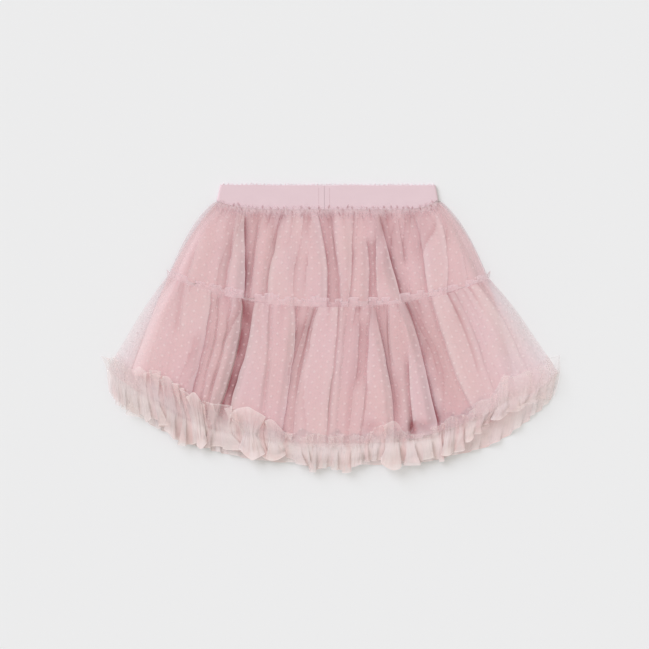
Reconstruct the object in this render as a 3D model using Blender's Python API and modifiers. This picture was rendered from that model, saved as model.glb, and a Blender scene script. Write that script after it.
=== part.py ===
"""A young child's gathered tulle skirt, laid flat on its back.

Waistband towards +Y, front upwards (+Z), underside at z = 0. Two tiers of swiss-dot tulle are
gathered below one wide elastic, a narrow ruffle is gathered along its middle onto the hem, and a
plain lining lies inside. Every cloth panel is a loft between two curved rows, with a column of
points for each side of each fold, and is given its wall by a Solidify modifier.
"""

import math
from collections import namedtuple

import bpy

MM = 0.001  # the tables below are in millimetres, and the scene is in metres

CLOTH = 1.0  # wall of a cloth panel
ELASTIC = 2.2  # wall of the waist elastic
SEAM_GAP = 0.3  # between pieces that touch
LAP = 1.75 * CLOTH + SEAM_GAP  # from a folded panel's underside to that of the one lying on it

# The middle of the whole skirt in the tables' millimetres, which becomes the origin.
MIDDLE_X = 0.98
MIDDLE_Y = -0.25

# A row runs across the skirt. Its height over the middle follows a power of the distance out.
Row = namedtuple("Row", "left_x left_y middle_y right_x right_y left_bow right_bow")

BAND_TOP = Row(-123.8, 157.2, 156.6, 114.2, 156.8, 2.0, 2.0)
BAND_FOOT = Row(-127.8, 139.0, 131.5, 117.4, 140.0, 6.0, 6.0)
GATHER = Row(-129.0, 138.7, 131.2, 118.6, 139.7, 6.0, 6.0)
HEADING = Row(-184.5, 63.0, 31.0, 177.0, 61.0, 2.3, 2.3)
TIER_SEAM = Row(-181.8, 56.6, 22.5, 172.9, 54.3, 2.3, 2.3)
HEM = Row(-249.0, -46.0, -132.0, 251.0, -50.0, 2.2, 2.2)
RUFFLE_TOP = Row(-240.0, -26.0, -108.0, 240.0, -30.0, 2.2, 2.2)
RUFFLE_FOOT = Row(-246.0, -74.0, -157.5, 243.0, -78.0, 2.3, 2.3)
BACK_HEM = Row(-247.0, -46.0, -128.0, 249.0, -50.0, 2.7, 3.4)
BACK_RUFFLE_TOP = Row(-238.0, -27.0, -102.0, 238.0, -31.0, 2.7, 3.4)
BACK_RUFFLE_FOOT = Row(-244.0, -75.0, -152.0, 242.0, -79.0, 2.7, 3.6)
LINING_TOP = Row(-125.0, 135.0, 129.5, 114.5, 136.0, 6.0, 6.0)
LINING_HEM = Row(-224.0, -46.0, -113.0, 226.0, -50.0, 2.3, 2.3)

# Where the front hem is pulled up or let down, as soft humps along X.
Lift = namedtuple("Lift", "place reach rise")
HEM_LIFTS = (
    Lift(-196.0, 40.0, 4.0),
    Lift(-92.0, 50.0, 7.0),
    Lift(54.0, 28.0, 4.0),
    Lift(192.0, 40.0, 6.0),
)

# A valley between two folds: its x on the panel's top and foot rows, and its depth.
Valley = namedtuple("Valley", "top foot fall")
UPPER_VALLEYS = (
    Valley(-121.3, -156.5, 2.2),
    Valley(-113.6, -134.5, 2.6),
    Valley(-105.9, -116.9, 3.4),
    Valley(-94.9, -97.1, 5.0),
    Valley(-77.3, -86.1, 3.2),
    Valley(-56.4, -72.9, 4.0),
    Valley(-35.5, -44.3, 2.4),
    Valley(-15.7, -5.8, 4.6),
    Valley(-1.4, 5.2, 3.6),
    Valley(11.8, 14.0, 2.2),
    Valley(25.0, 22.0, 3.6),
    Valley(37.1, 32.6, 2.4),
    Valley(45.9, 46.0, 4.8),
    Valley(54.5, 74.5, 5.0),
    Valley(71.2, 90.7, 3.4),
    Valley(87.7, 106.4, 4.2),
    Valley(99.9, 119.6, 2.4),
    Valley(107.9, 131.7, 3.2),
    Valley(113.6, 149.3, 3.0),
)
LOWER_VALLEYS = (
    Valley(-158.7, -200.5, 2.6),
    Valley(-145.5, -173.0, 2.4),
    Valley(-133.4, -155.7, 4.6),
    Valley(-119.1, -140.3, 2.4),
    Valley(-106.4, -128.3, 4.6),
    Valley(-91.6, -112.9, 5.0),
    Valley(-77.3, -92.7, 2.6),
    Valley(-63.0, -77.3, 3.0),
    Valley(-41.0, -54.2, 4.4),
    Valley(-22.3, -35.5, 2.4),
    Valley(-8.0, -17.9, 2.6),
    Valley(7.4, -5.8, 4.8),
    Valley(21.7, 12.9, 2.6),
    Valley(36.0, 26.1, 4.6),
    Valley(48.1, 48.1, 2.4),
    Valley(60.2, 66.8, 5.0),
    Valley(70.1, 86.0, 4.6),
    Valley(80.0, 110.8, 5.0),
    Valley(94.3, 131.0, 3.2),
    Valley(108.6, 152.6, 4.2),
    Valley(121.8, 166.9, 2.6),
    Valley(133.9, 183.2, 4.2),
    Valley(147.3, 201.9, 2.6),
    Valley(157.4, 221.8, 3.2),
)

# How a panel lies: down runs from 0 at its top row to 1 at its foot row, or above 0 for a heading.
# level is the underside of the crests, fold the share of each valley's fall that shows there, and
# side the width over which the panel rounds down to its side fold.
Section = namedtuple("Section", "down level fold side")
UPPER_FRONT = (
    Section(0.0, 4.6, 0.14, 3.0),
    Section(0.1, 8.2, 0.6, 5.0),
    Section(0.34, 13.0, 1.25, 9.0),
    Section(0.7, 14.4, 1.45, 12.0),
    Section(1.0, 13.4, 0.8, 14.0),
)
LOWER_FRONT = (
    Section(0.1, 14.6, 0.9, 15.0),
    Section(0.34, 15.8, 1.45, 17.0),
    Section(0.68, 15.8, 1.45, 20.0),
    Section(0.88, 14.2, 1.0, 22.0),
    Section(1.0, 12.6, 0.45, 22.0),
)
LINING_FRONT = (
    Section(0.0, 2.6, 0.0, 2.0),
    Section(0.12, 4.0, 0.0, 2.0),
    Section(0.34, 5.4, 0.0, 2.0),
    Section(1.0, 5.4, 0.0, 2.0),
)
LINING_BACK = (
    Section(0.0, 1.3, 0.0, 2.0),
    Section(0.12, 2.7, 0.0, 2.0),
    Section(0.34, 4.0, 0.0, 2.0),
    Section(1.0, 4.0, 0.0, 2.0),
)
# On the back the folds are low ridges that rise from a flat underside. The upper tier's foot lies
# on the lower one's heading, and the lower tier's foot on the ruffle's upper flare.
UPPER_BACK = (
    Section(0.0, 0.0, 0.0, 2.0),
    Section(0.2, 0.0, 1.0, 2.0),
    Section(0.84, 0.0, 1.0, 2.0),
    Section(0.92, 1.3, 0.6, 2.0),
    Section(1.0, 1.3, 0.0, 2.0),
)
LOWER_BACK = (
    Section(-0.06, 0.0, 0.0, 2.0),
    Section(0.0, 0.0, 0.0, 2.0),
    Section(0.1, 0.0, 1.0, 2.0),
    Section(0.7, 0.0, 1.0, 2.0),
    Section(0.8, 1.3, 1.0, 2.0),
    Section(1.0, 1.3, 0.0, 2.0),
)

UPPER_BULGE = 8.0  # how far the upper tier's sides swell out past straight lines
LOWER_BULGE = 2.5
HEADING_PUCKER = 1.5  # height of each second column of the heading
HEADING_ON_UPPER = 0.91  # how far down the upper tier that free edge lies

BACK_RIDGE = 1.2  # height of a fold on the back
UPPER_BACK_FOLDS = 12
LOWER_BACK_FOLDS = 16

FRONT_WAVES = 38  # ruffle waves along the front hem
BACK_WAVES = 24
WAVE_UNEVENNESS = 0.32  # share of a wave by which the ruffle's waves wander along the hem
FLARE_UP = 7.5  # wave height at the ruffle's upper free edge
FLARE_DOWN = 8.5  # and at its lower one
RUFFLE_EDGE_LEVEL = 6.0  # underside of the front ruffle's lowest points at its lower edge
BACK_WAVE_RISE = 3.0  # height of the back ruffle's waves at its lower free edge

LYING_REACH = 0.022  # share of the half width searched for folds under a piece that lies on them

LINING_COLUMNS = 14
LINING_WAVES = 4.5  # waves of the lining's cut edge
LINING_WAVE = 2.5

JOIN_X = -8.6  # where the ends of the elastic meet, on the front
BAND_COLUMNS = 12  # on the front and on the back
BAND_TURN_STEPS = 6  # around each side fold
BAND_ROWS = 2


def row_point(row, across):
    """Place on a row, across running from -1 at the left side fold to 1 at the right one."""
    if across < 0:
        end_x, end_y, bow = row.left_x, row.left_y, row.left_bow
    else:
        end_x, end_y, bow = row.right_x, row.right_y, row.right_bow
    reach = abs(across)
    return reach * end_x, row.middle_y + (end_y - row.middle_y) * reach**bow


def across_at(row, x):
    """The across value of an x on a row."""
    return x / abs(row.left_x if x < 0 else row.right_x)


def hump(distance, reach):
    """1 at no distance, falling smoothly to 0 at the reach."""
    return 0.5 + 0.5 * math.cos(math.pi * min(1.0, abs(distance) / reach))


def hem_lift(x):
    """How far the front hem is pulled up at this x."""
    return sum(lift.rise * hump(x - lift.place, lift.reach) for lift in HEM_LIFTS)


def mix(a, b, share):
    return a + (b - a) * share


def section_at(sections, down):
    """The lie of a panel between two of its sections."""
    for upper, lower in zip(sections, sections[1:]):
        if down <= lower.down:
            share = max(0.0, (down - upper.down) / (lower.down - upper.down))
            return Section(*(mix(a, b, share) for a, b in zip(upper, lower)))
    return sections[-1]


def side_share(distance, side):
    """How far a panel has risen this far in from its side fold: a quarter of an ellipse."""
    inside = min(1.0, max(0.0, distance / side))
    return math.sqrt(1.0 - (1.0 - inside) ** 2)


def valley_depth(panel, across, down):
    """Depth below the crests at any place of a folded panel."""
    valleys = panel.valleys
    places = [
        mix(across_at(panel.top_row, v.top), across_at(panel.foot_row, v.foot), down)
        for v in valleys
    ]
    deepest = 0.0
    for k, place in enumerate(places):
        before = places[k - 1] if k else 2 * place - places[1]
        after = places[k + 1] if k + 1 < len(places) else 2 * place - places[-2]
        reach = (place - before if across < place else after - place) / 2
        deepest = max(deepest, valleys[k].fall * hump(across - place, reach))
    return deepest


# A column of points down a panel: across on its top and foot rows, and its depth.
Column = namedtuple("Column", "top foot fall")


def side_columns(top_row, foot_row, top_side, foot_side, right):
    """The columns that round a panel down to one of its side folds, outermost first."""
    sign = 1.0 if right else -1.0
    top_width = abs(top_row.right_x if right else top_row.left_x)
    foot_width = abs(foot_row.right_x if right else foot_row.left_x)
    for inwards in (0.0, 0.12, 0.45, 1.0):
        top = sign * (1.0 - inwards * top_side / top_width)
        foot = sign * (1.0 - inwards * foot_side / foot_width)
        yield Column(top, foot, 0.0)


def folded_columns(valleys, top_row, foot_row, top_side, foot_side):
    """Columns along every valley, flank and crest of a folded panel, left to right."""
    left = list(side_columns(top_row, foot_row, top_side, foot_side, False))
    right = list(side_columns(top_row, foot_row, top_side, foot_side, True))[::-1]
    bottoms = [
        Column(across_at(top_row, v.top), across_at(foot_row, v.foot), v.fall)
        for v in valleys
    ]
    between = []
    for here, after in zip(bottoms, bottoms[1:]):
        between.append(here)
        for share in (0.25, 0.5, 0.75):
            nearest = here.fall if share < 0.5 else after.fall
            fall = 0.0 if share == 0.5 else 0.5 * nearest
            top = mix(here.top, after.top, share)
            between.append(Column(top, mix(here.foot, after.foot, share), fall))
    return left + between + bottoms[-1:] + right


def ridged_columns(count):
    """Columns of a back panel: each fold is a flat stretch and then one low ridge."""
    yield Column(-1.0, -1.0, 0.0)
    for k in range(count):
        start = -0.95 + 1.9 * k / count
        wide = (1.9 / count) * (1.0 + 0.2 * math.sin(2.3 * k))
        yield Column(start, start, 0.0)
        yield Column(start + 0.4 * wide, start + 0.4 * wide, 0.0)
        yield Column(start + 0.66 * wide, start + 0.66 * wide, BACK_RIDGE)
    yield Column(0.95, 0.95, 0.0)
    yield Column(1.0, 1.0, 0.0)


def loft_place(top_row, foot_row, column, down, bulge):
    """Plan position of a column's point between two rows, with the sides swelling out."""
    top_x, top_y = row_point(top_row, column.top)
    foot_x, foot_y = row_point(foot_row, column.foot)
    across = mix(column.top, column.foot, down)
    swell = bulge * across**3 * math.sin(math.pi * max(0.0, down) ** 0.65)
    return across, mix(top_x, foot_x, down) + swell, mix(top_y, foot_y, down)


def width_at(top_row, foot_row, across, down):
    """Half width of a panel on this side, this far down."""
    if across < 0:
        return mix(-top_row.left_x, -foot_row.left_x, down)
    return mix(top_row.right_x, foot_row.right_x, down)


# A folded front panel: its valleys, its rows and sections, and those of the back panel below it.
Panel = namedtuple("Panel", "valleys top_row foot_row sections back")
UPPER = Panel(UPPER_VALLEYS, GATHER, TIER_SEAM, UPPER_FRONT, UPPER_BACK)
LOWER = Panel(LOWER_VALLEYS, TIER_SEAM, HEM, LOWER_FRONT, LOWER_BACK)


def panel_level(panel, across, down, fall):
    """Underside of a folded panel, which rounds down to the back panel at its side folds."""
    section = section_at(panel.sections, down)
    width = width_at(panel.top_row, panel.foot_row, across, down)
    share = side_share((1.0 - abs(across)) * width, section.side)
    side_level = section_at(panel.back, down).level + CLOTH + SEAM_GAP
    return mix(side_level, section.level - section.fold * fall, share)


def level_on(panel, across, down):
    """Underside of a panel that lies on a folded one, clear of the highest fold near by."""
    levels = []
    for aside in (-1.0, -0.5, 0.0, 0.5, 1.0):
        near = max(-1.0, min(1.0, across + aside * LYING_REACH))
        fall = valley_depth(panel, near, down)
        levels.append(panel_level(panel, near, down, fall))
    return max(levels) + LAP


def new_collection(name):
    collection = bpy.data.collections.new(name)
    bpy.context.scene.collection.children.link(collection)
    return collection


def new_material(name, colour, roughness):
    """A plain cloth material; colour is linear red, green and blue."""
    material = bpy.data.materials.new(name)
    material.use_nodes = True
    shader = material.node_tree.nodes["Principled BSDF"]
    shader.inputs["Base Color"].default_value = (*colour, 1.0)
    shader.inputs["Roughness"].default_value = roughness
    shader.inputs["Metallic"].default_value = 0.0
    return material


def add_wall(name, grid, wall, material, collection, centred=False):
    """A closed wall over a grid of points, which is its underside, or its middle if centred."""
    columns = len(grid[0])
    points = [
        ((x - MIDDLE_X) * MM, (y - MIDDLE_Y) * MM, z * MM) for line in grid for x, y, z in line
    ]
    faces = [
        (
            (i + 1) * columns + j,
            (i + 1) * columns + j + 1,
            i * columns + j + 1,
            i * columns + j,
        )
        for i in range(len(grid) - 1)
        for j in range(columns - 1)
    ]
    mesh = bpy.data.meshes.new(name)
    mesh.from_pydata(points, [], faces)
    mesh.materials.append(material)
    mesh.shade_smooth()
    obj = bpy.data.objects.new(name, mesh)
    collection.objects.link(obj)
    thick = obj.modifiers.new("Wall", "SOLIDIFY")
    thick.thickness = wall * MM
    thick.offset = 0.0 if centred else 1.0
    thick.use_even_offset = True
    return obj


def make_waistband(material, collection):
    """One flattened loop of wide elastic, whose ends meet at the join on the front."""
    turn = (ELASTIC + SEAM_GAP) / 2  # radius of the wall's middle around a side fold
    low = ELASTIC / 2
    reach = ELASTIC / 2 + turn  # the fold's outer edge past the centre of its turn
    route = []  # (across, x beyond the fold's centre, height of the wall's middle)
    join = JOIN_X / -BAND_TOP.left_x
    gap = SEAM_GAP / 2 / -BAND_TOP.left_x
    for k in range(BAND_COLUMNS):
        route.append((mix(join - gap, -1.0, k / BAND_COLUMNS), 0.0, low + 2 * turn))
    for side, start in ((-1.0, math.pi / 2), (1.0, -math.pi / 2)):
        for k in range(BAND_TURN_STEPS + 1):
            angle = start + math.pi * k / BAND_TURN_STEPS
            route.append((side, turn * math.cos(angle), low + turn + turn * math.sin(angle)))
        first, last, height = (-1.0, 1.0, low) if side < 0 else (1.0, join + gap, low + 2 * turn)
        steps = range(1, BAND_COLUMNS if side < 0 else BAND_COLUMNS + 1)
        for k in steps:
            route.append((mix(first, last, k / BAND_COLUMNS), 0.0, height))
    grid = []
    for i in range(BAND_ROWS + 1):
        down = i / BAND_ROWS
        line = []
        for across, beyond, height in route:
            top_x, top_y = row_point(BAND_TOP, across)
            foot_x, foot_y = row_point(BAND_FOOT, across)
            x = mix(top_x, foot_x, down) - across * reach + beyond
            line.append((x, mix(top_y, foot_y, down), height))
        grid.append(line)
    return add_wall("waistband", grid, ELASTIC, material, collection, centred=True)


def make_upper_front(material, collection):
    top_side, foot_side = UPPER_FRONT[0].side, UPPER_FRONT[-1].side
    columns = folded_columns(UPPER_VALLEYS, GATHER, TIER_SEAM, top_side, foot_side)
    grid = []
    for section in UPPER_FRONT:
        line = []
        for column in columns:
            across, x, y = loft_place(GATHER, TIER_SEAM, column, section.down, UPPER_BULGE)
            line.append((x, y, panel_level(UPPER, across, section.down, column.fall)))
        grid.append(line)
    return add_wall("upper_tier_front", grid, CLOTH, material, collection)


def make_lower_front(material, collection):
    """The lower tier with its standing heading, which lies on the upper tier's foot."""
    top_side, foot_side = UPPER_FRONT[-1].side, LOWER_FRONT[-1].side
    columns = folded_columns(LOWER_VALLEYS, TIER_SEAM, HEM, top_side, foot_side)
    heading = []
    seam = []
    for k, column in enumerate(columns):
        x, y = row_point(HEADING, column.top)
        pucker = HEADING_PUCKER * (k % 2)
        heading.append((x, y, level_on(UPPER, column.top, HEADING_ON_UPPER) + pucker))
        x, y = row_point(TIER_SEAM, column.top)
        seam.append((x, y, level_on(UPPER, column.top, 1.0)))
    grid = [heading, seam]
    for section in LOWER_FRONT:
        line = []
        for column in columns:
            across, x, y = loft_place(TIER_SEAM, HEM, column, section.down, LOWER_BULGE)
            y += section.down * hem_lift(x)
            line.append((x, y, panel_level(LOWER, across, section.down, column.fall)))
        grid.append(line)
    return add_wall("lower_tier_front", grid, CLOTH, material, collection)


def make_back_tier(name, rows, sections, folds, bulge, material, collection):
    """A back panel, whose underside lies on the floor between its low ridges."""
    top_row, foot_row = rows
    columns = list(ridged_columns(folds))
    grid = []
    for section in sections:
        line = []
        for column in columns:
            _, x, y = loft_place(top_row, foot_row, column, section.down, bulge)
            line.append((x, y, section.level + section.fold * column.fall))
        grid.append(line)
    return add_wall(name, grid, CLOTH, material, collection)


def make_lining(name, sections, material, collection):
    columns = []
    for k in range(LINING_COLUMNS + 1):
        across = -1.0 + 2.0 * k / LINING_COLUMNS
        columns.append(Column(across, across, 0.0))
    grid = []
    for section in sections:
        line = []
        for column in columns:
            across, x, y = loft_place(
                LINING_TOP, LINING_HEM, column, section.down, UPPER_BULGE
            )
            wave = LINING_WAVE * math.sin(2 * math.pi * LINING_WAVES * across)
            line.append((x, y + wave * section.down, section.level))
        grid.append(line)
    return add_wall(name, grid, CLOTH, material, collection)


def wave_place(step, steps, waves):
    """Across value and phase of a ruffle column, with waves of uneven width."""
    along = step / steps
    wander = WAVE_UNEVENNESS * (
        math.sin(2 * math.pi * 3.0 * along) + math.sin(2 * math.pi * 7.3 * along)
    )
    across = -1.0 + 2.0 * (along + wander * math.sin(math.pi * along) / waves)
    return across, 2 * math.pi * waves * along


def make_front_ruffle(material, collection):
    """A strip gathered along its middle: one flare lies on the tier, the other beyond the hem."""
    steps = FRONT_WAVES * 4
    side = LOWER_FRONT[-1].side
    tier_length = TIER_SEAM.middle_y - HEM.middle_y
    lines = {share: [] for share in (-1.0, -0.5, 0.0, 0.5, 1.0)}
    for step in range(steps + 1):
        across, phase = wave_place(step, steps, FRONT_WAVES)
        wave = 0.5 + 0.5 * math.sin(phase)
        strong = 0.72 + 0.28 * math.sin(0.37 * step) * math.sin(0.11 * step)
        hem_x, hem_y = row_point(HEM, across)
        lift = hem_lift(hem_x)
        stitch = level_on(LOWER, across, 1.0)
        for share, line in lines.items():
            edge_row = RUFFLE_TOP if share < 0 else RUFFLE_FOOT
            edge_x, edge_y = row_point(edge_row, across)
            x = mix(hem_x, edge_x, abs(share))
            y = mix(hem_y, edge_y, abs(share)) + lift
            if share < 0:
                rise = (RUFFLE_TOP.middle_y - HEM.middle_y) * -share
                z = level_on(LOWER, across, 1.0 - rise / tier_length)
                z -= share * strong * FLARE_UP * wave
            else:
                inside = (1.0 - abs(across)) * width_at(TIER_SEAM, HEM, across, 1.0)
                risen = side_share(inside, side)
                level = mix(CLOTH + SEAM_GAP, RUFFLE_EDGE_LEVEL, risen)
                z = mix(stitch, level, share) + share * strong * FLARE_DOWN * wave * risen
            line.append((x, y, z))
    return add_wall("hem_ruffle_front", list(lines.values()), CLOTH, material, collection)


def make_back_ruffle(material, collection):
    """The same strip on the back: its upper flare is pressed flat below the tier."""
    steps = BACK_WAVES * 4
    lines = {share: [] for share in (-1.0, 0.0, 0.5, 1.0)}
    for step in range(steps + 1):
        across, phase = wave_place(step, steps, BACK_WAVES)
        wave = max(0.0, math.sin(phase))
        hem_x, hem_y = row_point(BACK_HEM, across)
        for share, line in lines.items():
            edge_row = BACK_RUFFLE_TOP if share < 0 else BACK_RUFFLE_FOOT
            edge_x, edge_y = row_point(edge_row, across)
            x = mix(hem_x, edge_x, abs(share))
            y = mix(hem_y, edge_y, abs(share))
            inside = side_share(1.0 - abs(across), 0.1)
            z = max(0.0, share) * BACK_WAVE_RISE * wave * inside
            line.append((x, y, z))
    return add_wall("hem_ruffle_back", list(lines.values()), CLOTH, material, collection)


def main():
    for obj in list(bpy.data.objects):
        bpy.data.objects.remove(obj, do_unlink=True)
    skirt = new_collection("tulle_skirt")
    elastic = new_material("Waist elastic", (0.745, 0.578, 0.604), 0.75)
    tulle = new_material("Dotted tulle", (0.708, 0.491, 0.503), 0.85)
    back_tulle = new_material("Dotted tulle, back", (0.604, 0.462, 0.434), 0.85)
    ruffle = new_material("Ruffle tulle", (0.760, 0.624, 0.617), 0.85)
    lining = new_material("Lining", (0.672, 0.423, 0.434), 0.7)
    make_waistband(elastic, skirt)
    make_upper_front(tulle, skirt)
    make_lower_front(tulle, skirt)
    make_front_ruffle(ruffle, skirt)
    make_back_tier(
        "upper_tier_back",
        (GATHER, TIER_SEAM),
        UPPER_BACK,
        UPPER_BACK_FOLDS,
        UPPER_BULGE,
        back_tulle,
        skirt,
    )
    make_back_tier(
        "lower_tier_back",
        (TIER_SEAM, BACK_HEM),
        LOWER_BACK,
        LOWER_BACK_FOLDS,
        LOWER_BULGE,
        back_tulle,
        skirt,
    )
    make_back_ruffle(back_tulle, skirt)
    make_lining("lining_front", LINING_FRONT, lining, skirt)
    make_lining("lining_back", LINING_BACK, lining, skirt)


main()
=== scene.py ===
"""A young child's gathered tulle skirt, laid flat: its cloth, sewing, finishes and light.

Each panel is fine cloth on the rows and creases of the frame's solids: dotted tulle with folds
that lap over each other, a wavy ruffle on the hem, a lining that follows the folds, and a ribbed
waist elastic with a picot edge. The front net casts no shadow, so the shade in its creases and
puckers, like that in the ruffle's waves, is painted into the cloth's colours, and into the
lining's under the creases.
"""

from collections import namedtuple

import bpy
import numpy as np
from numpy import clip, concatenate, cos, exp, interp, linspace, maximum, minimum, pi, sin, where
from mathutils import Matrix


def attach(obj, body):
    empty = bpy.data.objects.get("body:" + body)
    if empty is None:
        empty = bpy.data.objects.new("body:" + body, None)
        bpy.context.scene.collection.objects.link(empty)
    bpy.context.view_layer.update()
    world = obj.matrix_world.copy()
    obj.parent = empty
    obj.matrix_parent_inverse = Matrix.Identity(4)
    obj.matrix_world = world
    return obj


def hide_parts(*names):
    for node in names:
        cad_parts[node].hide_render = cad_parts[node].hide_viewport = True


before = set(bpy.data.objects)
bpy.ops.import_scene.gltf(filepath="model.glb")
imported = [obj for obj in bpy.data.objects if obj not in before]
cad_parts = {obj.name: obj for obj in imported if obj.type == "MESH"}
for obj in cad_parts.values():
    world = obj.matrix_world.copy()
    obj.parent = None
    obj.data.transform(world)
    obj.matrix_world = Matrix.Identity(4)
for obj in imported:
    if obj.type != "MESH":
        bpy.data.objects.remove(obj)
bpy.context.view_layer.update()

MM = 0.001  # the tables below are in millimetres, and the scene is in metres

# The middle of the whole skirt in the tables' millimetres, which is the frame's origin.
MIDDLE_X = 0.98
MIDDLE_Y = -0.25

# A row runs across the skirt. Its height over the middle follows a power of the distance out.
Row = namedtuple("Row", "left_x left_y middle_y right_x right_y left_bow right_bow")

BAND_TOP = Row(-123.8, 157.2, 156.6, 114.2, 156.8, 2, 2)
BAND_FOOT = Row(-127.8, 139, 130, 117.4, 140, 6, 10)
GATHER = Row(-129, 138.7, 129.7, 118.6, 139.7, 6, 10)
HEADING = Row(-182.8, 64.5, 33.3, 174.8, 62.8, 2.3, 2.3)
TIER_SEAM = Row(-181.8, 56.6, 22.5, 172.9, 54.3, 2.3, 2.3)
HEM = Row(-249, -46, -132, 251, -50, 2.2, 2.2)
RUFFLE_TOP = Row(-256, -28, -110, 253, -29, 2.2, 2.2)
RUFFLE_FOOT = Row(-247, -75, -157.5, 247, -79, 2.3, 2.3)
BACK_HEM = Row(-247, -46, -128, 249, -50, 2.7, 3.4)
BACK_RUFFLE_TOP = Row(-238, -27, -102, 238, -31, 2.7, 3.4)
BACK_RUFFLE_FOOT = Row(-244, -75, -152, 242, -79, 2.7, 3.6)
LINING_TOP = Row(-125, 138, 131.8, 114.5, 138.8, 6, 10)
LINING_HEM = Row(-222, -46, -116, 200, -50, 2.3, 2.9)

# Where the front hem is pulled up or let down, as soft humps along X: place, reach and rise.
HEM_LIFTS = (
    (-196, 40, 4), (-92, 50, 7), (54, 28, 4), (192, 40, 6),
)

# Creases between folds: top, foot, fall, reach, lap, bow, low, cover, starts and ends. top and foot
# are a crease's x on the panel's top and foot rows, and bow is how far it swings to the right
# midway down. fall is its depth and reach the half width of its valley. lap is how far the fold
# on its left laps over it as a share of that fold's half width, or less than 0 where the fold on
# its right does. low and cover say how far the fold on its right lies below its neighbours, and
# how densely its net hides what is under it. It shows from starts to ends, as shares of the way
# down, or all the way where a row leaves them out. fall and low also set how much shade is
# painted into the colours of the net and of the lining under it.
UPPER_CREASES = (
    (-121.3, -160.9, 1.1, 9, -0.4, -1, -0.2, 0.4),
    (-114.1, -140, 2.2, 5, 0, 0, 0, 0.44, 0, 0.22),
    (-103.7, -118, 1.8, 6, -0.2, 3, -0.4, 0.6),
    (-94.6, -97.3, 6.3, 5.6, 0.62, 0.8, 2.4, 0.28),
    (-77.3, -91.5, 2.4, 4.5, -0.3, 0.5, 0.6, 0.4),
    (-55.3, -71.8, 2, 6, -0.5, 0, -0.6, 0.6),
    (-35.5, -42, 0.5, 12, 0, 0, -0.8, 0.58),
    (-17.4, -5.3, 4.9, 6, 0.5, 5, 2.2, 0.3),
    (-1.4, 9.6, 3, 5, -0.2, 1, -0.3, 0.52),
    (25, 17.8, 2.9, 4, 0.3, 0, 0.2, 0.42),
    (37, 41.5, 2.7, 5, 0.35, 1, 2, 0.16, 0.26, 1),
    (46.4, 50.3, 2.4, 5, -0.45, 0, -0.4, 0.54, 0.26, 1),
    (51.4, 76.7, 5.4, 6.5, 0.64, -3.3, 1.6, 0.3),
    (71.2, 87.7, 1.9, 4, 0.3, -2, 0.6, 0.36, 0, 0.66),
    (87.7, 106.4, 1.9, 5.5, -0.5, 0, -0.9, 0.62),
    (110.5, 126.7, 0.9, 7, 0.45, 3, 0.1, 0.42),
    (116, 151.5, 0.7, 8, 0.3, 1.5, 0, 0.34),
)
LOWER_CREASES = (
    (-160.4, -180, 1.8, 11, -0.2, 0, -0.6, 0.52, 0, 0.45),
    (-133.4, -163, 3, 6, 0.62, 4.5, 0.9, 0.3),
    (-122.4, -150, 1.9, 4, -0.2, 4, 0.5, 0.36),
    (-110.3, -142.5, 1.5, 4.5, -0.3, 5, 0.1, 0.44),
    (-99.9, -131, 5.3, 8, 0.62, 9.5, 5, 0.15),
    (-85.5, -117, 4.4, 6, -0.55, 5, -0.9, 0.6),
    (-66.3, -77.3, 1.9, 5, 0, 1, 0.2, 0.42),
    (-41, -56.4, 3.2, 6, 0.55, 1.5, 1.4, 0.3),
    (-17.9, -44.4, 1.9, 6, -0.25, -5, -0.7, 0.58),
    (7.4, -6.9, 2.4, 4, 0.2, 0.5, -0.6, 0.56),
    (17.3, 4, 0.8, 7, 0, 0, 0.2, 0.4),
    (32.7, 20.6, 2.6, 5, 0.35, 0, 1.5, 0.14, 0.03, 0.62),
    (41.5, 31.6, 2.7, 5, -0.45, 0, -0.2, 0.46, 0.03, 0.66),
    (47, 68.4, 5.2, 6.5, 0.6, 2.5, 2.2, 0.28),
    (61.3, 78, 3, 5, -0.35, -3, 1, 0.36, 0, 0.5),
    (73, 88.5, 4.4, 6, -0.5, 5, -0.8, 0.58, 0.33, 1),
    (80.5, 115.5, 9.1, 7, 0.62, 3, 1.9, 0.35),
    (107.5, 158, 1.8, 7, -0.4, -4, -0.8, 0.6),
    (133.9, 183.4, 0.5, 8, 0.3, 3.5, -0.5, 0.64),
    (160, 224, 1, 9, 0.35, 2, -0.4, 0.5),
)
FADE = 0.16  # share of the way down over which a crease comes and goes
USUAL_COVER = 0.42
DEEPEST = 4.7  # the front panels' valleys stay above the lining

# Where the lower front tier sinks in a little between its creases, with shade painted into its
# colour and thinner net, or is held up with less painted shade where the depth is less than 0:
# x, y, its reach along each, and the depth.
HOLLOWS_AND_SHADE = (
    (-94.9, 13.5, 8, 16, 0.32), (-118, -79, 9, 18, -0.35), (-46.5, 2.5, 9, 22, -0.15),
    (25, 16, 9, 14, -0.22), (42.6, -108, 15, 11, 0.3), (71, -75, 10, 44, 0.3),
    (88.5, -112, 7.5, 13, 1), (100, -108, 15, 11, 0.42), (102, -28, 6.5, 20, 0.3),
    (116, -80, 10, 20, -0.3), (128, 28, 11, 18, -0.22),
)

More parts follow.
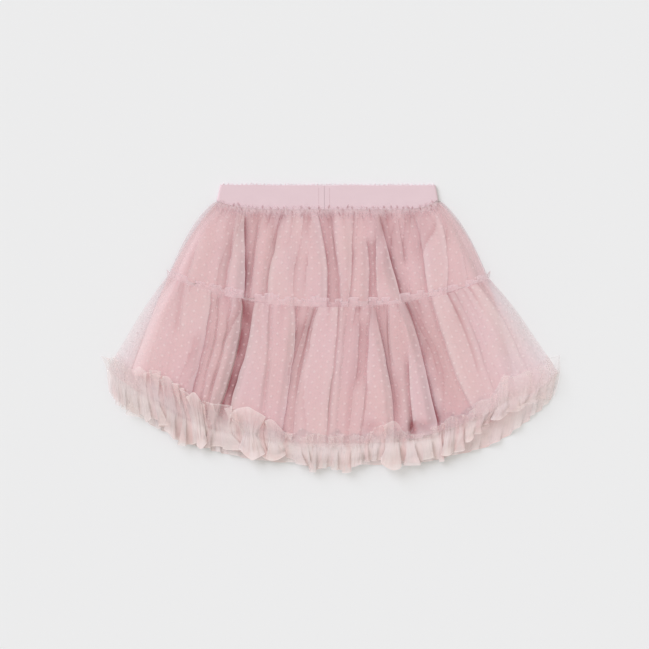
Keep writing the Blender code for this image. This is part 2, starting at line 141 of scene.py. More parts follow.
# How a panel lies, from 0 at its top row to 1 at its foot row: how far down, the height of the
# crests, the share of each crease's depth that shows there, and the width over which the panel
# rounds down to its side fold.
UPPER_FRONT = (
    (0, 5, 0.14, 3), (0.1, 8.6, 0.5, 5), (0.34, 12.8, 0.78, 9), (0.7, 14.2, 0.9, 12),
    (1, 14.2, 0.6, 14),
)
LOWER_FRONT = (
    (0, 14.4, 0.45, 14), (0.1, 15.2, 0.7, 15), (0.34, 15.8, 0.88, 17), (0.68, 15.8, 0.88, 20),
    (0.88, 14.6, 0.75, 22), (1, 13.4, 0.5, 22),
)
UPPER_BACK = (
    (0, 0.4, 0.1, 2), (0.2, 0.5, 1, 2), (0.84, 0.5, 1, 2), (0.92, 1.5, 0.6, 2), (1, 1.7, 0.1, 2),
)
LOWER_BACK = (
    (0, 0.4, 0.1, 2), (0.1, 0.4, 1, 2), (0.7, 0.5, 1, 2), (0.8, 1.6, 1, 2), (1, 1.7, 0.1, 2),
)

UPPER_BULGE = 8  # how far the upper tier's sides swell out past straight lines
LOWER_BULGE = 2.5
SIDE_LEVEL = 0.9  # height of the front panels' side folds, just above the back panels

MEANDER = 1.3  # how far a fold wanders from its line
WOBBLE = 0.55
CROWN = 1.6  # how far a broad fold rounds down to its creases
UPPER_SIDE_COVERS = (0.06, 0.1)  # how densely the net lies at the front's left and right folds
LOWER_SIDE_COVERS = (-0.05, 0.05)
BACK_SIDE_COVER = -0.2
SIDE_FADE = 24
SIDE_PLAIN = 16  # width over which the threads can be told apart from the sides inwards

FINE_WIDTH = 8  # of the fine folds that the gathers send down a panel
FINE_LENGTH = 34
FINE_SLANT = 9
EDGE_LIGHT = 0.22  # how much denser a fold looks at its doubled edge

COLUMNS_A_FOLD = 30
UPPER_LINES = 84
LOWER_LINES = 116

WAIST_MARGIN = 6  # how far the gathered top reaches up over the elastic's foot
WAIST_DROP = 10.5
STROKE_PITCH = 7.4  # usual spacing of the puckers at the waist
STROKE_ROWS = ((-1.8, 3.8), (2.2, 5.2), (6.6, 6.4))  # how far below the foot, and half a length
SEAM_PUCKER = 6.4  # and at the seam between the tiers

UPPER_BACK_FOLDS = 12
LOWER_BACK_FOLDS = 16
BACK_RIDGE = 1.2
LINING_CLEARANCE = 0.9  # between the front tulle and the lining below it
LINING_CREST = 12.5
LINING_BULGES = (13, 19)  # how far the lining's left and right sides swell out

# Where a stretch of the ruffle spreads out like a bow: half its width at the stitching and at its
# upper and lower edges, and how high it stands over the rest.
Fan = namedtuple("Fan", "place gathered up down rise")
FANS = (
    Fan(-206, 4, 6.5, 5, 2), Fan(-177, 5, 8.5, 6, 2.5), Fan(-146, 6, 9, 8, 3.5),
    Fan(-90.5, 6.5, 20, 14.5, 5.5), Fan(-63, 6, 9, 13, 3), Fan(28, 5, 7, 9, 2),
    Fan(67, 6, 12, 15, 4), Fan(129, 4.5, 6, 8, 1.6), Fan(153, 4.5, 6.5, 7.5, 1.8),
    Fan(186, 6, 8, 11, 3), Fan(211, 4.5, 7, 7, 2.5),
)
# How tall the ruffle's flares are along the hem: an x, and the share of the usual height there.
UPPER_FLARE = (
    (-250, 1), (-215, 1.2), (-172, 1.7), (-125, 1.2), (-80, 1.15), (-30, 0.7), (30, 0.6), (65, 0.9),
    (92, 0.3), (112, 0.5), (150, 0.6), (190, 1.1), (250, 1),
)
LOWER_FLARE = (
    (-250, 1), (-160, 0.95), (-130, 0.74), (-92, 1), (-58, 0.72), (-25, 1), (40, 0.95), (140, 1),
    (172, 0.62), (222, 0.6), (250, 0.9),
)
FRONT_WAVES = 40  # ruffle waves along the front hem
BACK_WAVES = 24
FLARE_UP = 3.6  # wave height at the ruffle's upper free edge
FLARE_DOWN = 4.6  # and at its lower one
RUFFLE_EDGE_LEVEL = 5
BACK_WAVE_RISE = 4.2
COLUMNS_A_WAVE = 36
HEADING_WAVES = 34

JOIN_X = -8.6  # where the ends of the elastic meet, on the front
ELASTIC = 2  # wall of the waist elastic
STITCH_TOP = 4.42

# Finishes: colours are linear red, green and blue.
DOT_COLOUR = (0.92, 0.77, 0.76)
FLOOR_COLOUR = (0.9, 0.9, 0.9)

DOT_RADIUS = 0.0014
DOT_PITCH = 0.0136  # along a row of dots
DOT_ROW = 0.0058  # from one row to the next, which is half a pitch aside
NET_PITCH = 0.0011  # of the tulle's net
NET_SLANT = 0.7  # of its two sets of threads
EDGE_ON_COVER = 0.35  # how much denser the net looks where the cloth stands upright
MEASURED_LINE = 0.6  # how far down a sheet its flat cloth is measured across


# ---- rows, folds and smooth curves


def mix(a, b, share):
    return a + (b - a) * share


def unit(values):
    """Values kept between 0 and 1."""
    return clip(values, 0, 1)


def eased(share):
    """A soft step from 0 to 1."""
    share = unit(share)
    return share * share * (3 - 2 * share)


def row_points(row, across):
    """Places on a row, across running from -1 at the left side fold to 1 at the right one."""
    left = across < 0
    reach = abs(across)
    end_x = where(left, row.left_x, row.right_x)
    end_y = where(left, row.left_y, row.right_y)
    bow = where(left, row.left_bow, row.right_bow)
    return reach * end_x, row.middle_y + (end_y - row.middle_y) * reach**bow


def across_at(row, x):
    """The across values of some x on a row."""
    return x / where(x < 0, -row.left_x, row.right_x)


def between(rows, top, foot, down, bulge=0):
    """Places this far down from one row to the next, on lines that swell out by the bulge."""
    top_x, top_y = row_points(rows[0], top)
    foot_x, foot_y = row_points(rows[1], foot)
    swell = bulge * mix(top, foot, down) ** 3 * sin(pi * down**0.65)
    return mix(top_x, foot_x, down) + swell, mix(top_y, foot_y, down)


def hump(distance, reach):
    """1 at no distance, falling smoothly to 0 at the reach."""
    return 0.5 + 0.5 * cos(pi * minimum(1, abs(distance) / reach))


def hem_lift(x):
    """How far the front hem is pulled up at each x."""
    return sum(rise * hump(x - place, reach) for place, reach, rise in HEM_LIFTS)


def side_share(distance, side):
    """How far a panel has risen this far in from its side fold, in a rounded slope."""
    return sin(0.5 * pi * unit(distance / side))


def curve_through(places, values, at):
    """A smooth curve through a few values, which never swings past them."""
    places, values = np.asarray(places), np.asarray(values)
    rates = np.diff(values) / np.diff(places)
    rates = concatenate([rates[:1], rates, rates[-1:]])
    before, after = rates[:-1], rates[1:]
    total = where(before * after > 0, before + after, 1)
    slopes = where(before * after > 0, 2 * before * after / total, 0)
    k = clip(np.searchsorted(places, at) - 1, 0, len(places) - 2)
    span = places[k + 1] - places[k]
    t = unit((at - places[k]) / span)
    start = t * (1 - t) ** 2 * span * slopes[k]
    end = t * t * (1 - t) * span * slopes[k + 1]
    return mix(values[k], values[k + 1], eased(t)) + start - end


def lie(sections, down):
    """Crest level, fold share and side width of a panel, this far down."""
    places, *columns = zip(*sections)
    return [curve_through(places, column, down) for column in columns]


def soft_noise(x, y, seed):
    """Soft random heights from -1 to 1, with one cell to each unit of x and of y."""
    heights = np.random.RandomState(seed).uniform(-1, 1, (64, 64))
    x, y = np.broadcast_arrays(x, y)
    column, line = np.floor(x).astype(int), np.floor(y).astype(int)
    across, down = eased(x - column), eased(y - line)
    corner = [[heights[(line + i) % 64, (column + j) % 64] for j in (0, 1)] for i in (0, 1)]
    return mix(mix(*corner[0], across), mix(*corner[1], across), down)


def pinches(x, y, seed):
    """Narrow pinched lines in a gathered cloth, 1 at the bottom of each and 0 between them."""
    return (1 - abs(soft_noise(x, y, seed))) ** 5


def fine_folds(x, y, seed):
    """Narrow folds that lie over each other: the crease beside each one, and its doubled edge."""
    noise = soft_noise(x, y, seed)
    crease = where(noise > 0, exp(-5 * noise), 0)
    edge = where(noise > 0, 0, exp(9 * noise))
    return crease, edge


def smoothed(values, window):
    """Values averaged along their last axis over a few columns."""
    margins = [(0, 0)] * (values.ndim - 1) + [(window // 2 + 1, window // 2)]
    sums = np.cumsum(np.pad(values, margins, mode="edge"), axis=-1)
    return (sums[..., window:] - sums[..., :-window]) / window


# ---- meshes


def to_frame(x, y, z):
    """Table places in millimetres as points in the frame."""
    x, y, z = np.broadcast_arrays(x, y, z)
    return np.stack([(x - MIDDLE_X) * MM, (y - MIDDLE_Y) * MM, z * MM], axis=-1)


def steepness(points):
    """How steeply a sheet stands at each of its points: 0 where it lies flat, 1 upright."""
    normal = np.cross(np.gradient(points, axis=1), np.gradient(points, axis=0))
    return 1 - abs(normal[..., 2]) / (np.linalg.norm(normal, axis=2) + 1e-12)


def add_cloth(name, places, material, node, density=0, depth=0, marks=1, casts=False):
    """A sheet over a grid of places, with its cloth's own measures on it in metres.

    The layer Cloth holds the place on the flat cloth, and Lie how far it is drawn apart there and
    how densely its net hides what is under it, which is more on edge. Crease holds how much shade
    is painted into its colour in a crease (on the lining, how much paler its edge is), and how well
    its dots and threads can be told apart (on the lining, the shade painted under the tulle's creases).
    """
    points = to_frame(*places)
    lines, columns = points.shape[:2]
    measured = points[int(MEASURED_LINE * lines)]
    steps = np.linalg.norm(np.diff(measured, axis=0, prepend=measured[:1]), axis=1)
    usual = smoothed(abs(np.gradient(measured[:, 0])), 15)
    cloth_u = np.cumsum(minimum(steps, 1.35 * usual + 1e-5))
    down_steps = np.linalg.norm(np.diff(points, axis=0, prepend=points[:1]), axis=2)
    cloth_v = np.cumsum(smoothed(down_steps, 31), axis=0)
    flat_steps = maximum(np.gradient(cloth_u), 1e-6)
    wide = np.linalg.norm(np.gradient(points, axis=1), axis=2)
    drawn = clip(wide / flat_steps, 0.35, 2.5)
    density = clip(density + EDGE_ON_COVER * steepness(points) ** 1.5, -0.3, 1)
    marks = marks * unit((drawn - 0.4) / 0.3)
    index = np.arange(lines * columns).reshape(lines, columns)
    corners = (index[:-1, :-1], index[1:, :-1], index[1:, 1:], index[:-1, 1:])
    faces = np.stack([corner.ravel() for corner in corners], axis=1)
    mesh = bpy.data.meshes.new(name)
    mesh.from_pydata(points.reshape(-1, 3).tolist(), [], faces.tolist())
    layers = {"Cloth": (cloth_u, cloth_v), "Lie": (drawn, density), "Crease": (unit(depth), marks)}
    for layer, pair in layers.items():
        grids = [np.broadcast_to(part, (lines, columns)).ravel() for part in pair]
        uv = np.stack([grid[faces.ravel()] for grid in grids], axis=1)
        mesh.uv_layers.new(name=layer).data.foreach_set("uv", uv.ravel())
    mesh.shade_smooth()
    mesh.materials.append(material)
    obj = bpy.data.objects.new(name, mesh)
    obj.visible_shadow = casts
    return place_piece(obj, node)


def place_piece(obj, node):
    """Adds a piece that rides on the skirt and may stand for one of its solids."""
    bpy.context.scene.collection.objects.link(obj)
    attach(obj, "root")
    if node:
        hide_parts(node)
    return obj


def add_threads(name, runs, radius, material):
    """Short threads on the elastic, each a run of points in the frame."""
    curve = bpy.data.curves.new(name, "CURVE")
    curve.dimensions = "3D"
    curve.bevel_depth = radius
    curve.bevel_resolution = 1
    curve.use_fill_caps = True
    for run in runs:
        spline = curve.splines.new("POLY")
        spline.points.add(len(run) - 1)
        spline.points.foreach_set("co", np.column_stack([run, np.ones(len(run))]).ravel())
    curve.materials.append(material)
    place_piece(bpy.data.objects.new(name, curve), None)


# ---- materials


class Wire:
    """A socket in a material's node tree. Arithmetic on values adds Math nodes."""

    def __init__(self, tree, socket=None):
        self.tree = tree
        self.socket = socket

    def node(self, kind, settings=None, sockets=None, out=0):
        """Adds a node, sets it, joins or fills its sockets, and gives one of its outputs."""
        made = self.tree.nodes.new(kind)
        for name, value in (settings or {}).items():
            setattr(made, name, value)
        for name, value in (sockets or {}).items():
            if isinstance(value, Wire):
                self.tree.links.new(value.socket, made.inputs[name])
            else:
                made.inputs[name].default_value = value
        return Wire(self.tree, made.outputs[out])

    def maths(self, operation, *others, clamp=False):
        """A Math node, with this wire as its first value."""
        settings = {"operation": operation, "use_clamp": clamp}
        return self.node("ShaderNodeMath", settings, dict(enumerate((self, *others))))

    def __add__(self, other):
        return self.maths("ADD", other)

    def __sub__(self, other):
        return self.maths("SUBTRACT", other)

    def __mul__(self, other):
        return self.maths("MULTIPLY", other)

    def __truediv__(self, other):
        return self.maths("DIVIDE", other)

    def __rsub__(self, other):
        return self.maths("MULTIPLY_ADD", -1, other)

    __radd__ = __add__
    __rmul__ = __mul__

    def eased(self, low, high):
        """0 below low and 1 above high, with a soft step between; low may be the larger."""
        sockets = {"Value": self, "From Min": low, "From Max": high}
        return self.node("ShaderNodeMapRange", {"interpolation_type": "SMOOTHSTEP"}, sockets)

    def colours(self, first, second):
        """A colour between two colours or wires, with this wire as the share of the second."""
        ends = [end if isinstance(end, Wire) else (*end, 1) for end in (first, second)]
        sockets = dict(zip((0, 6, 7), (self, *ends)))
        return self.node("ShaderNodeMix", {"data_type": "RGBA"}, sockets, out=2)

    def layer(self, name):
        """Both values of one of the cloth's layers."""
        pair = {0: self.node("ShaderNodeUVMap", {"uv_map": name})}
        return [self.node("ShaderNodeSeparateXYZ", None, pair, part) for part in (0, 1)]


def start_material(name, roughness, sheen=0):
    """A material, its shader, and the wires of the cloth's own place on it in metres."""
    material = bpy.data.materials.new(name)
    material.use_nodes = True
    shader = material.node_tree.nodes["Principled BSDF"]
    shader.inputs["Roughness"].default_value = roughness
    shader.inputs["Sheen Weight"].default_value = sheen
    shader.inputs["Specular IOR Level"].default_value = 0.25
    return material, shader, *Wire(material.node_tree).layer("Cloth")


def feed(shader, socket, wire):
    wire.tree.links.new(wire.socket, shader.inputs[socket])


def scattering_normal(wire, lift):
    """The surface's normal, turned towards upright, because net scatters light."""
    normal = wire.node("ShaderNodeNewGeometry", out=1)
    sockets = {0: normal, 1: (1, 1, lift)}
    turned = wire.node("ShaderNodeVectorMath", {"operation": "MULTIPLY"}, sockets)
    return wire.node("ShaderNodeVectorMath", {"operation": "NORMALIZE"}, {0: turned})


def feed_bump(shader, height, distance, lift=1):
    sockets = {"Height": height, "Distance": distance}
    if lift > 1:
        sockets["Normal"] = scattering_normal(height, lift)
    feed(shader, "Normal", height.node("ShaderNodeBump", None, sockets))


def grain(u, v, across, down, depth=0):
    """Soft noise from 0 to 1 on the cloth, in patches of these sizes in metres."""
    place = u.node("ShaderNodeCombineXYZ", None, {0: u / across, 1: v / down, 2: depth})
    return u.node("ShaderNodeTexNoise", None, {"Vector": place, "Scale": 1})


def ripple(value, pitch):
    """A wave from 0 to 1 along a value in metres."""
    return (value * (2 * pi / pitch)).maths("SINE") * 0.5 + 0.5


def net(u, v):
    """Threads of the tulle's net: 1 on a thread and 0 in a hole."""
    half = NET_PITCH / 2
    slants = (NET_SLANT, -NET_SLANT)
    rising, falling = [(u + v * slant).maths("PINGPONG", half) / half for slant in slants]
    return rising.maths("MAXIMUM", falling).eased(0.62, 0.92)


def swiss_dots(u, v, drawn):
    """Small round dots in rows, each row half a pitch aside from the next."""
    line = v / DOT_ROW
    cell = u / DOT_PITCH + line.maths("FLOOR").maths("FLOORED_MODULO", 2) * 0.5
    across = (cell.maths("FRACT") - 0.5) * drawn * DOT_PITCH
    down = (line.maths("FRACT") - 0.5) * DOT_ROW
    distance = (across * across + down * down).maths("SQRT")
    return distance.eased(DOT_RADIUS * 1.4, DOT_RADIUS * 0.35)


def shaded(colour, deep_colour):
    """A colour that turns to another by the Crease layer: painted shade in the net's creases, and a
    paler edge on the lining.
    """
    deep, _ = colour.layer("Crease")
    return deep.colours(colour, deep_colour)


def make_dotted_tulle():
    material, shader, u, v = start_material("Dotted tulle", 0.85, 0.15)
    drawn, dense = u.layer("Lie")
    deep, marks = u.layer("Crease")
    patch = grain(u, v, 0.02, 0.06, depth=3)
    # The dots show more where painted shade darkens the net.
    dots = swiss_dots(u, v, drawn) * marks * (0.2 + 1.15 * patch + 0.7 * deep)
    streak = grain(u, v, 0.0026, 0.03)
    tone = grain(u, v, 0.05, 0.09, depth=7)
    threads = 0.1 * (streak - 0.5) + 0.05 * (net(u, v) - 0.4)
    cover = 0.2 + 0.62 * dense + (threads + 0.14 * (patch - 0.5)) * marks
    cover = cover + 0.42 * dots * (1 - cover)
    feed(shader, "Alpha", cover.maths("ADD", 0, clamp=True))
    cloth = tone.eased(0.35, 0.65).colours((0.885, 0.695, 0.685), (0.885, 0.685, 0.705))
    dotted = (0.7 * dots).colours(cloth, DOT_COLOUR)
    # The crease colour is painted shade: darker and redder in the creases, puckers and hollows.
    feed(shader, "Base Color", shaded(dotted, (0.56, 0.235, 0.25)))
    feed_bump(shader, dots + 0.3 * streak, 0.0002, 7)
    return material


def make_gathered_tulle():
    """The tulle where it is gathered too densely for its dots to show."""
    material, shader, u, v = start_material("Gathered tulle", 0.85, 0.15)
    _, dense = u.layer("Lie")
    streak = grain(u, v, 0.0016, 0.03)
    cover = 0.98 * dense + 0.14 * (streak - 0.5) * dense
    feed(shader, "Alpha", cover.maths("ADD", 0, clamp=True))
    cloth = streak.colours((0.83, 0.635, 0.66), (0.88, 0.7, 0.715))
    # The crease colour is painted shade in the waist's pucker strokes and the heading's pinches.
    feed(shader, "Base Color", shaded(cloth, (0.46, 0.235, 0.25)))
    feed_bump(shader, streak, 0.0003, 7)
    return material


def make_ruffle_tulle():
    material, shader, u, v = start_material("Ruffle tulle", 0.85, 0.2)
    _, dense = u.layer("Lie")
    streak = grain(u, v, 0.0018, 0.03)
    patch = grain(u, v, 0.02, 0.03, depth=5)
    cover = 0.06 + 0.94 * dense + 0.14 * (streak - 0.5) + 0.16 * (patch - 0.5)
    cover = cover + 0.05 * (net(u, v) - 0.4)
    feed(shader, "Alpha", cover.maths("ADD", 0, clamp=True))
    cloth = patch.eased(0.35, 0.65).colours((0.99, 0.86, 0.825), (0.99, 0.85, 0.84))
    # The crease colour is painted shade in the ruffles' wave troughs, pinches and pleats, beside the
    # fans and on the back ruffle's right.
    feed(shader, "Base Color", shaded(cloth, (0.95, 0.6, 0.57)))
    feed_bump(shader, streak, 0.0003, 6)
    return material


def make_lining_cloth():
    material, shader, u, v = start_material("Lining cloth", 0.62, 0.15)
    weave = ripple(u, 0.0006) * ripple(v, 0.0006)
    patch = grain(u, v, 0.03, 0.06)
    cloth = patch.colours((0.73, 0.445, 0.45), (0.79, 0.495, 0.5))
    # The Crease layer's second value paints shade under the tulle's creases, and its first turns the
    # lining's sides paler.
    _, shade = u.layer("Crease")
    cloth = shade.colours(cloth, (0.36, 0.115, 0.125))
    feed(shader, "Base Color", shaded(cloth, (0.93, 0.8, 0.8)))
    feed_bump(shader, weave + 0.6 * patch, 0.0001, 2)
    return material


def make_elastic_webbing():
    material, shader, u, v = start_material("Elastic webbing", 0.8, 0.2)
    ribs = ripple(v, 0.0011) + 0.5 * ripple(u, 0.0008)
    patch = grain(u, v, 0.03, 0.01)
    feed(shader, "Base Color", patch.colours((0.83, 0.63, 0.67), (0.87, 0.67, 0.71)))
    feed_bump(shader, ribs, 0.00012)
    return material


def make_thread(name, dark, pale):
    material, shader, wire, _ = start_material(name, 0.6)
    place = wire.node("ShaderNodeTexCoord", out=3)
    fuzz = wire.node("ShaderNodeTexNoise", None, {"Vector": place, "Scale": 900})
    feed(shader, "Base Color", fuzz.colours(dark, pale))
    return material


def make_floor_finish():
    material, shader, *_ = start_material("Pale floor", 0.9)
    shader.inputs["Base Color"].default_value = (*FLOOR_COLOUR, 1)
    return material


# ---- the tiers


def shows(starts, ends, down):
    """How far each crease shows this far down, from 0 to 1."""
    begun = where(starts <= 0, 1, unit((down - starts) / FADE))
    left = where(ends >= 1, 1, unit((ends - down) / FADE))
    return begun * left


def across_folds(values, fold, within):
    """Each fold's value, which turns softly into the next one's about the crease between."""
    before = values[..., maximum(fold - 1, 0)]
    here = values[..., fold]
    after = values[..., minimum(fold + 1, values.shape[-1] - 1)]
    to_left = 0.5 * (1 - eased(within / 0.3))
    to_right = 0.5 * (1 - eased((1 - within) / 0.3))
    return here + (before - here) * to_left + (after - here) * to_right


def front_panel(creases, rows, sections, bulge, side_covers, lines, seed):
    """Places of a folded front panel, with its cover and the shade painted into its creases."""
    columns = np.array([(*crease, 0, 1)[:10] for crease in creases]).T
    tops, feet, falls, reaches, overlaps, bows, lows, covers, starts, ends = columns
    count = len(creases)
    place = linspace(0, count + 1, (count + 1) * COLUMNS_A_FOLD + 1)
    fold = minimum(place.astype(int), count)
    within = place - fold
    on_left = within < 0.5
    nearest = where(on_left, fold, fold + 1)
    from_crease = 2 * where(on_left, within, 1 - within)
    towards = where(on_left, -1, 1)

    def padded(values, end=0):
        return np.array([end, *values, end])

    down = linspace(0, 1, lines)[:, None]
    shown = eased(shows(starts, ends, down))
    edge = np.zeros((lines, 1))
    shown_at = concatenate([edge, shown, edge], axis=1)[:, nearest]
    top_places = np.array([-1, *across_at(rows[0], tops), 1])
    foot_places = np.array([-1, *across_at(rows[1], feet), 1])
    fall = padded(falls)[nearest] * shown_at
    laps = maximum(towards * padded(overlaps)[nearest] * shown_at, 0)
    bow = interp(place, range(count + 2), padded(bows))
    level, folded, side = lie(sections, down)
    top = interp(place, range(count + 2), top_places)
    foot = interp(place, range(count + 2), foot_places)
    across = mix(top, foot, down)
    own_side = where(across < 0, -1, 1)
    half_width = abs(between(rows, own_side, own_side, down)[0])
    x, y = between(rows, top, foot, down, bulge)
    spread = mix(np.diff(top_places)[fold], np.diff(foot_places)[fold], down) * half_width / 2
    held = unit(folded / 0.9)
    vary = 1 + 0.3 * soft_noise(3.7 * nearest, 4.5 * down, seed + 7)
    fall = fall * vary
    laps = laps * (0.8 + 0.2 * vary)
    inside = 1 - across**8
    x = x + bow * sin(pi * down**0.8)
    x = x + MEANDER * soft_noise(place / 1.6, down * 3, seed + 3) * held * inside
    x = x + WOBBLE * soft_noise(place, down * 11, seed + 8) * held * inside
    x = x + towards * laps * spread * sin(pi * from_crease) * held

    reach = padded(reaches, 9)[nearest] * mix(0.7, 1.1, down)
    depth = hump(from_crease * spread, minimum(reach * where(laps > 0, 0.55, 1), spread))
    low = across_folds(concatenate([edge, shown * lows], axis=1), fold, within)
    crown = CROWN * unit(spread / 14) * (1 - sin(pi * within))
    z = level - (low + fall * depth + crown) * folded
    u = np.cumsum(np.gradient(between(rows, top, foot, MEASURED_LINE)[0]))
    length = y - y[0]
    z = z + 0.3 * soft_noise(u / 4.2, length / 34, seed + 1) * held
    z = z + 0.9 * soft_noise(u / 15, length / 50, seed + 2) * held
    slanted = u + FINE_SLANT * soft_noise(u / 34, length / 70, seed + 4)
    crease, edge_of_fold = fine_folds(slanted / FINE_WIDTH, 0, seed + 5)
    fine = unit(0.45 + 1.1 * soft_noise(slanted / FINE_WIDTH, length / FINE_LENGTH, seed + 6))
    fine = fine * (0.35 + 0.65 * exp(length / 45)) * inside
    z = z + fine * (0.4 * edge_of_fold - 0.8 * crease)
    z = maximum(z, DEEPEST + 0.3 * (z - DEEPEST))
    from_side = (1 - abs(across)) * half_width
    risen = side_share(from_side, side)
    z = SIDE_LEVEL + (z - SIDE_LEVEL) * risen
    covers = concatenate([edge, shown * (covers - USUAL_COVER)], axis=1)
    cover = USUAL_COVER + across_folds(covers, fold, within)
    doubled = unit(laps * 2) * hump(from_crease - 0.5, 0.35)
    cover = cover + EDGE_LIGHT * (doubled * held + 0.7 * fine * edge_of_fold)
    cover = mix(where(across < 0, *side_covers), cover, eased(from_side / SIDE_FADE))
    marks = mix(0.3, 1, unit(from_side / SIDE_PLAIN))
    # Painted shade: deep darkens the net in closed creases, more in some than others, on lower folds
    # and in the fine creases.
    uneven = clip(1 + 0.5 * soft_noise(2.3 * nearest, 6 * down, seed + 9), 0.5, 1.5)
    closed_crease_shade = uneven * fall * depth**1.5 * where(laps > 0, 0.35, 1)
    deep = (closed_crease_shade + 0.8 * maximum(low, 0)) * held / 7 + 0.85 * fine * crease
    return x, y, z, cover, deep * risen, marks, u


def make_upper_front(tulle):
    x, y, z, cover, deep, marks, u = front_panel(
        UPPER_CREASES, (GATHER, TIER_SEAM), UPPER_FRONT, UPPER_BULGE, UPPER_SIDE_COVERS, UPPER_LINES, 11
    )
    below = y[0] - y
    pinched = pinches(u / 5.2, below / 60, 21) * exp(-below / 11)
    drawn_in = pinches(u / 12, below / 90, 22) * exp(-below / 30)
    z = maximum(z - pinched - 0.6 * drawn_in, SIDE_LEVEL)
    cover = cover + 0.15 * exp(-below / 9)
    # Painted shade in the puckers under the gathers.
    deep = deep + 0.75 * pinched + 0.5 * drawn_in
    obj = add_cloth(
        "upper_tulle_front", (x, y, z), tulle, "upper_tier_front",
        cover, deep, marks,
    )
    return np.broadcast_arrays(x, y, z, deep)


def make_lower_front(tulle):
    x, y, z, cover, deep, marks, u = front_panel(
        LOWER_CREASES, (TIER_SEAM, HEM), LOWER_FRONT, LOWER_BULGE, LOWER_SIDE_COVERS, LOWER_LINES, 31
    )
    down = linspace(0, 1, LOWER_LINES)[:, None]
    below = y[0] - y
    y = y + down * hem_lift(x)
    pinched = pinches(u / SEAM_PUCKER, below / 70, 41) * exp(-below / 12)
    drawn_in = pinches(u / (2.2 * SEAM_PUCKER), below / 90, 42) * exp(-below / 34)
    z = maximum(z - 1.2 * pinched - 0.7 * drawn_in, SIDE_LEVEL)
    # Each hollow sinks the cloth, thins its net and adds painted shade to its colour; one held up takes
    # painted shade away.
    sunk_and_shade = 0
    for at_x, at_y, reach_x, reach_y, depth in HOLLOWS_AND_SHADE:
        sunk_and_shade = sunk_and_shade + depth * hump(x - at_x, reach_x) * hump(y - at_y, reach_y)
    z = maximum(z - 1.5 * sunk_and_shade, SIDE_LEVEL)
    cover = cover + 0.15 * exp(-below / 9) - 0.2 * maximum(sunk_and_shade, 0)
    # Painted shade in the puckers below the seam, and in the hollows.
    deep = maximum(deep + 0.45 * pinched + 0.28 * drawn_in + sunk_and_shade, 0)
    obj = add_cloth(
        "lower_tulle_front", (x, y, z), tulle, "lower_tier_front",
        cover, deep, marks,
    )
    return np.broadcast_arrays(x, y, z, deep)


# ---- what lies on or under a panel

CELL = 2  # of the grids of heights
REACH_X = 280
REACH_Y = 190
NOWHERE = 1e3


def around(grid):
    """The nine cells at and around each cell of a grid."""
    wide = np.pad(grid, 1, mode="edge")
    lines, columns = grid.shape
    return [wide[i : i + lines, j : j + columns] for i in range(3) for j in range(3)]


def relief(sheets, keep, cells, outside=SIDE_LEVEL):
    """A grid of the lowest or highest heights of some sheets, and outside what holds beyond them.

    Each height holds for some cells around it before the grid is softened over as many, so that
    it stays on one side of the sheets.
    """
    empty = NOWHERE if keep is minimum else -NOWHERE
    grid = np.full((2 * REACH_Y // CELL + 1, 2 * REACH_X // CELL + 1), empty)
    for x, y, z in sheets:
        line = np.rint((REACH_Y - y) / CELL).astype(int)
        column = np.rint((x + REACH_X) / CELL).astype(int)
        keep.at(grid, (line.ravel(), column.ravel()), z.ravel())
    for _ in range(cells):
        grid = keep.reduce(around(grid))
    grid = where(grid == empty, outside, grid)
    for _ in range(cells):
        grid = np.mean(around(grid), axis=0)
    return grid


def height_at(grid, x, y):
    """The height of a relief at places in plan."""
    line = clip((REACH_Y - y) / CELL, 0, grid.shape[0] - 1.001)
    column = clip((x + REACH_X) / CELL, 0, grid.shape[1] - 1.001)
    i, j = line.astype(int), column.astype(int)
    first = mix(grid[i, j], grid[i, j + 1], column - j)
    second = mix(grid[i + 1, j], grid[i + 1, j + 1], column - j)
    return mix(first, second, line - i)


# ---- headings and ruffles


def uneven_waves(count, columns_a_wave, seed, unevenness):
    """Columns along a strip gathered into uneven waves.

    Gives each column's place from 0 to 1 along the strip, its place across the skirt, its phase,
    its wave's width as a share of the usual one, and five whims of each wave from -1 to 1.
    """
    rng = np.random.RandomState(seed)
    widths = exp(unevenness * clip(rng.standard_normal(count), -1.6, 1.6))
    ends = concatenate([[0], np.cumsum(widths)]) / widths.sum()
    turn = linspace(0, count, count * columns_a_wave + 1)
    along = smoothed(interp(turn, range(count + 1), ends), 2 * (columns_a_wave // 4) + 1)
    along = (along - along[0]) / (along[-1] - along[0])
    middles = np.arange(count) + 0.5
    width = interp(turn, middles, widths / widths.mean())
    whims = [interp(turn, middles, rng.uniform(-1, 1, count)) for _ in range(5)]
    return along, -1 + 2 * along, 2 * pi * turn, width, whims


